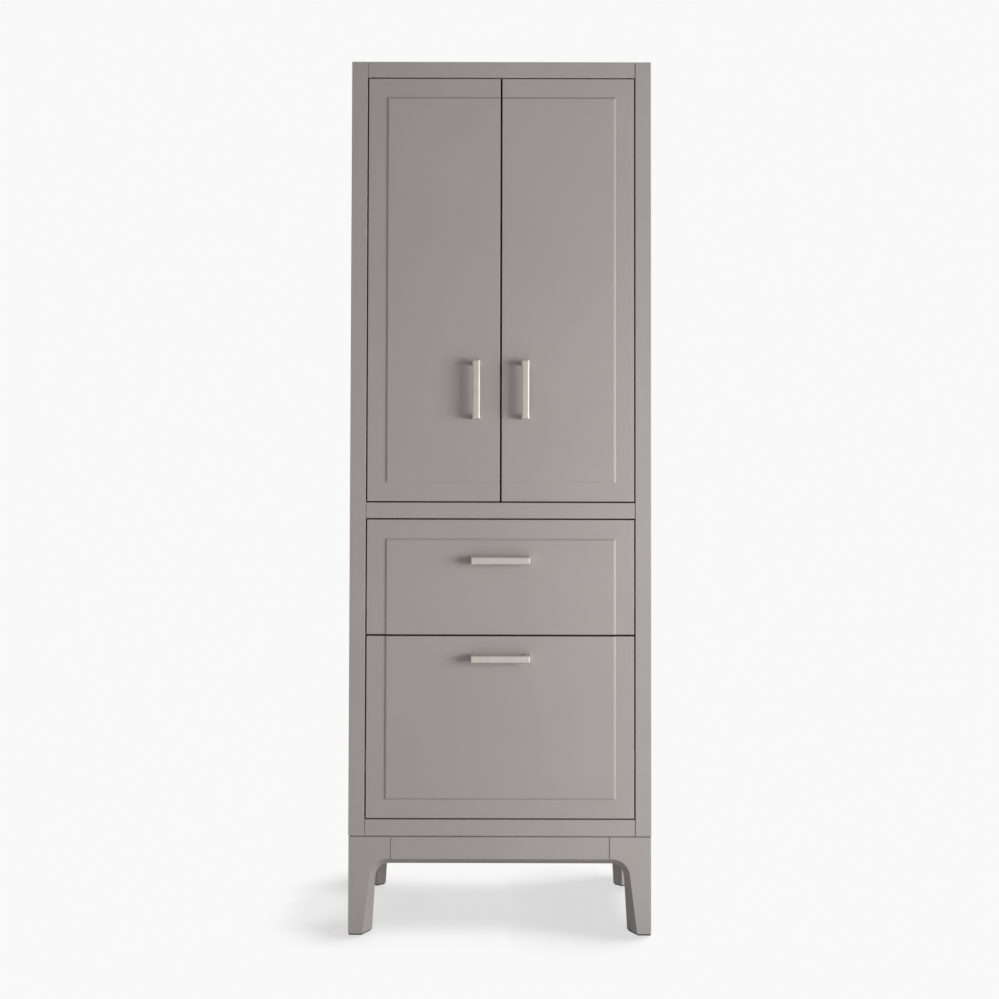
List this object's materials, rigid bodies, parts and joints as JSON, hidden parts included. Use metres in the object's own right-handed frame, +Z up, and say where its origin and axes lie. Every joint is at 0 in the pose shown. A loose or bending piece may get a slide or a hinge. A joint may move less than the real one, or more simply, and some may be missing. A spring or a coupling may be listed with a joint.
{
  "type": "pantry cabinet",
  "caption": "Tall freestanding pantry cabinet with an inset face frame: paired doors over two drawers on a bracket-foot base, with adjustable shelves and square bar pulls.",
  "frame": {"origin": "under the middle of the whole box, pulls included, at floor level", "axes": "+Z up, -Y out of the doors' front, +X to the right seen from the front"},
  "size_m": [0.61, 0.44, 1.768],
  "materials": {
    "grey_paint": "satin warm-grey sprayed paint on wood and fibreboard",
    "back_board": "thin board, painted grey",
    "drawer_wood": "clear-lacquered pale solid wood",
    "drawer_ply": "clear-lacquered pale plywood",
    "satin_nickel": "satin-brushed nickel plate",
    "zinc_steel": "bright zinc plate",
    "black_steel": "chemically blackened steel",
    "brass_bush": "turned brass",
    "catch_plastic": "moulded white plastic with a magnet inside",
    "glide_plastic": "dark nylon on a steel nail"
  },
  "bodies": {
    "cabinet": {"left_stile": "grey_paint", "right_stile": "grey_paint", "top_rail": "grey_paint", "middle_rail": "grey_paint", "bottom_rail": "grey_paint", "left_side_panel": "grey_paint", "right_side_panel": "grey_paint", "top_panel": "grey_paint", "middle_deck": "grey_paint", "bottom_panel": "grey_paint", "back_panel": "back_board", "back_panel_screws": "zinc_steel", "upper_shelf": "grey_paint", "lower_shelf": "grey_paint", "shelf_pins": "zinc_steel", "pivot_bushes": "brass_bush", "magnetic_catches": "catch_plastic", "front_left_foot": "grey_paint", "front_right_foot": "grey_paint", "rear_left_foot": "grey_paint", "rear_right_foot": "grey_paint", "front_apron": "grey_paint", "rear_apron": "grey_paint", "left_apron": "grey_paint", "right_apron": "grey_paint", "foot_glides": "glide_plastic", "slide_cabinet_members": "zinc_steel", "slide_spacers": "drawer_wood"},
    "left_door": {"left_door_panel": "grey_paint", "left_door_pull": "satin_nickel", "left_door_pull_screws": "zinc_steel", "left_door_pivots": "black_steel", "left_door_strike_plate": "zinc_steel"},
    "right_door": {"right_door_panel": "grey_paint", "right_door_pull": "satin_nickel", "right_door_pull_screws": "zinc_steel", "right_door_pivots": "black_steel", "right_door_strike_plate": "zinc_steel"},
    "upper_drawer": {"upper_drawer_front": "grey_paint", "upper_drawer_pull": "satin_nickel", "upper_drawer_pull_screws": "zinc_steel", "upper_drawer_left_side": "drawer_wood", "upper_drawer_right_side": "drawer_wood", "upper_drawer_inner_front": "drawer_wood", "upper_drawer_back": "drawer_wood", "upper_drawer_bottom": "drawer_ply", "upper_slide_drawer_members": "zinc_steel"},
    "upper_slide_stage": {"upper_slide_middle_members": "zinc_steel"},
    "lower_drawer": {"lower_drawer_front": "grey_paint", "lower_drawer_pull": "satin_nickel", "lower_drawer_pull_screws": "zinc_steel", "lower_drawer_left_side": "drawer_wood", "lower_drawer_right_side": "drawer_wood", "lower_drawer_inner_front": "drawer_wood", "lower_drawer_back": "drawer_wood", "lower_drawer_bottom": "drawer_ply", "lower_slide_drawer_members": "zinc_steel"},
    "lower_slide_stage": {"lower_slide_middle_members": "zinc_steel"}
  },
  "joints": [
    {"name": "left_door_hinge", "type": "hinge", "parent": "cabinet", "child": "left_door", "pos_m": [-0.2613, -0.1795, 0.87105], "axis": [0, 0, -1], "range_deg": [0, 110]},
    {"name": "right_door_hinge", "type": "hinge", "parent": "cabinet", "child": "right_door", "pos_m": [0.2613, -0.1795, 0.87105], "axis": [0, 0, 1], "range_deg": [0, 110]},
    {"name": "upper_drawer_slide", "type": "slide", "parent": "cabinet", "child": "upper_drawer", "axis": [0, -1, 0], "range_m": [0, 0.34]},
    {"name": "lower_drawer_slide", "type": "slide", "parent": "cabinet", "child": "lower_drawer", "axis": [0, -1, 0], "range_m": [0, 0.34]},
    {"name": "upper_slide_travel", "type": "slide", "parent": "cabinet", "child": "upper_slide_stage", "axis": [0, -1, 0], "range_m": [0, 0.17]},
    {"name": "lower_slide_travel", "type": "slide", "parent": "cabinet", "child": "lower_slide_stage", "axis": [0, -1, 0], "range_m": [0, 0.17]}
  ],
  "couplings": [
    {"joint": "upper_slide_travel", "follows": "upper_drawer_slide", "ratio": 0.5},
    {"joint": "lower_slide_travel", "follows": "lower_drawer_slide", "ratio": 0.5}
  ]
}
